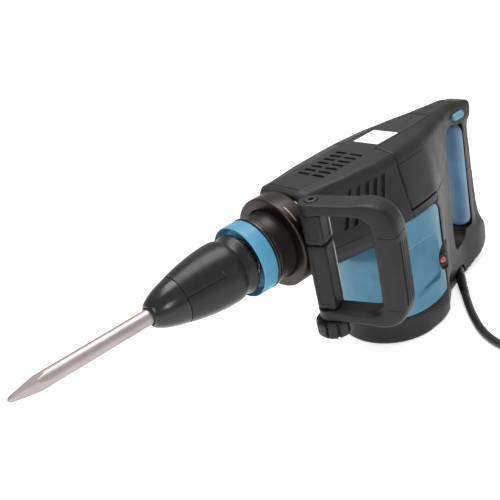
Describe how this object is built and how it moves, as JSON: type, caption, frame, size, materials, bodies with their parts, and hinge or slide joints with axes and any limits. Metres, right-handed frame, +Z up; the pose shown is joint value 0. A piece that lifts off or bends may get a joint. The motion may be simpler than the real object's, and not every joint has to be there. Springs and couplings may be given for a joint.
{
  "type": "demolition hammer",
  "caption": "Electric demolition hammer with a bull-point chisel, quick-release tool holder, upright motor, rear D handle, swivelling side D handle and mains lead.",
  "frame": {"origin": "centre of the round foot's flat face, under the motor axis", "axes": "+X from the chisel to the rear handle along the hammer axis, +Y to the operator's right, +Z up, out of the foot"},
  "size_m": [0.7782, 0.386, 0.2662],
  "materials": {
    "black_casting": "black paint over cast aluminium, satin",
    "black_plastic": "fine moulded texture, satin",
    "black_rubber": "smooth rubber, soft sheen",
    "blue_plastic": "mid blue moulded plastic, satin",
    "blue_grip": "greyer blue soft-touch rubber",
    "chisel_steel": "ground and lightly brushed",
    "machined_steel": "machined and oiled",
    "band_steel": "dark strip steel with a bright edge",
    "bare_aluminium": "turned",
    "brass_parts": "bright",
    "carbon": "pressed carbon",
    "red_lens": "clear red lens",
    "circuit_green": "lacquered board in potting"
  },
  "bodies": {
    "machine": {"crank_housing": "black_casting", "barrel": "black_casting", "barrel_bolt_1": "machined_steel", "barrel_bolt_2": "machined_steel", "barrel_bolt_3": "machined_steel", "barrel_bolt_4": "machined_steel", "cylinder_liner": "machined_steel", "crank_bearing": "machined_steel", "top_cover": "black_plastic", "motor_housing": "blue_plastic", "bottom_cap": "black_plastic", "rear_housing_left": "black_plastic", "rear_housing_right": "black_plastic", "grip_insert": "blue_grip", "switch_unit": "black_plastic", "controller": "circuit_green", "lamp_bezel": "black_plastic", "indicator_lamp": "red_lens", "stator": "machined_steel", "upper_bearing": "machined_steel", "lower_bearing": "machined_steel", "brush_left": "carbon", "brush_right": "carbon", "brush_holder_left": "brass_parts", "brush_holder_right": "brass_parts", "handle_screw_1": "machined_steel", "handle_screw_2": "machined_steel", "ring_seal": "black_rubber", "cord_guard": "black_rubber", "cord": "black_rubber", "cord_coil": "black_rubber", "plug_body": "black_rubber", "plug_pin_left": "brass_parts", "plug_pin_right": "brass_parts"},
    "tool_spindle": {"tool_holder": "machined_steel", "change_ring": "blue_plastic", "nose_cap": "black_rubber", "lock_roller_left": "machined_steel", "lock_roller_right": "machined_steel", "sleeve_spring": "machined_steel"},
    "release_sleeve": {"chuck_sleeve": "black_plastic"},
    "chisel": {"chisel": "chisel_steel"},
    "impact_bolt": {"impact_bolt": "machined_steel"},
    "striker": {"striker": "machined_steel"},
    "piston": {"piston": "bare_aluminium", "wrist_pin": "machined_steel"},
    "connecting_rod": {"connecting_rod": "machined_steel"},
    "crank_gear": {"crank_gear": "machined_steel"},
    "armature": {"armature_shaft": "machined_steel", "armature_core": "machined_steel", "commutator": "brass_parts", "cooling_fan": "black_plastic"},
    "switch_lever": {"switch_lever": "blue_grip"},
    "speed_dial": {"speed_dial": "black_rubber"},
    "handle_clamp": {"clamp_band": "band_steel", "handle_base_upper": "black_plastic", "handle_base_lower": "black_plastic", "handle_bolt": "machined_steel"},
    "side_handle": {"side_handle": "black_plastic"},
    "clamp_knob": {"clamp_knob": "black_plastic"}
  },
  "joints": [
    {"name": "tool_turn", "type": "hinge", "parent": "machine", "child": "tool_spindle", "pos_m": [-0.224, 0, 0.205], "axis": [1, 0, 0], "continuous": true},
    {"name": "sleeve_slide", "type": "slide", "parent": "tool_spindle", "child": "release_sleeve", "axis": [1, 0, 0], "range_m": [0, 0.008], "stiffness_N_per_m": 900, "springref_m": -0.008},
    {"name": "chisel_slide", "type": "slide", "parent": "tool_spindle", "child": "chisel", "axis": [1, 0, 0], "range_m": [-0.03, 0]},
    {"name": "impact_bolt_slide", "type": "slide", "parent": "machine", "child": "impact_bolt", "axis": [1, 0, 0], "range_m": [-0.004, 0.006]},
    {"name": "piston_slide", "type": "slide", "parent": "machine", "child": "piston", "axis": [1, 0, 0], "range_m": [0, 0.034]},
    {"name": "striker_slide", "type": "slide", "parent": "machine", "child": "striker", "axis": [1, 0, 0], "range_m": [0, 0.034]},
    {"name": "rod_swing", "type": "hinge", "parent": "piston", "child": "connecting_rod", "pos_m": [-0.123, 0, 0.205], "axis": [0, 0, 1], "range_deg": [-14, 14]},
    {"name": "armature_spin", "type": "hinge", "parent": "machine", "child": "armature", "pos_m": [0, 0, 0.105], "axis": [0, 0, 1], "continuous": true},
    {"name": "crank_turn", "type": "hinge", "parent": "machine", "child": "crank_gear", "pos_m": [-0.044, 0, 0.165], "axis": [0, 0, 1], "continuous": true},
    {"name": "switch_slide", "type": "slide", "parent": "machine", "child": "switch_lever", "axis": [0, 1, 0], "range_m": [0, 0.004]},
    {"name": "dial_turn", "type": "hinge", "parent": "machine", "child": "speed_dial", "pos_m": [0.12, 0, 0.168], "axis": [0, 1, 0], "range_deg": [0, 270]},
    {"name": "clamp_swing", "type": "hinge", "parent": "machine", "child": "handle_clamp", "pos_m": [-0.1662, 0, 0.205], "axis": [1, 0, 0], "continuous": true},
    {"name": "handle_turn", "type": "hinge", "parent": "handle_clamp", "child": "side_handle", "pos_m": [-0.164, -0.064, 0.205], "axis": [0, 0, 1], "range_deg": [-60, 10]},
    {"name": "knob_turn", "type": "hinge", "parent": "handle_clamp", "child": "clamp_knob", "pos_m": [-0.164, -0.064, 0.105], "axis": [0, 0, 1], "range_deg": [0, 360]}
  ],
  "couplings": [
    {"joint": "crank_turn", "follows": "armature_spin", "ratio": -0.225},
    {"joint": "striker_slide", "follows": "piston_slide", "ratio": 1}
  ]
}
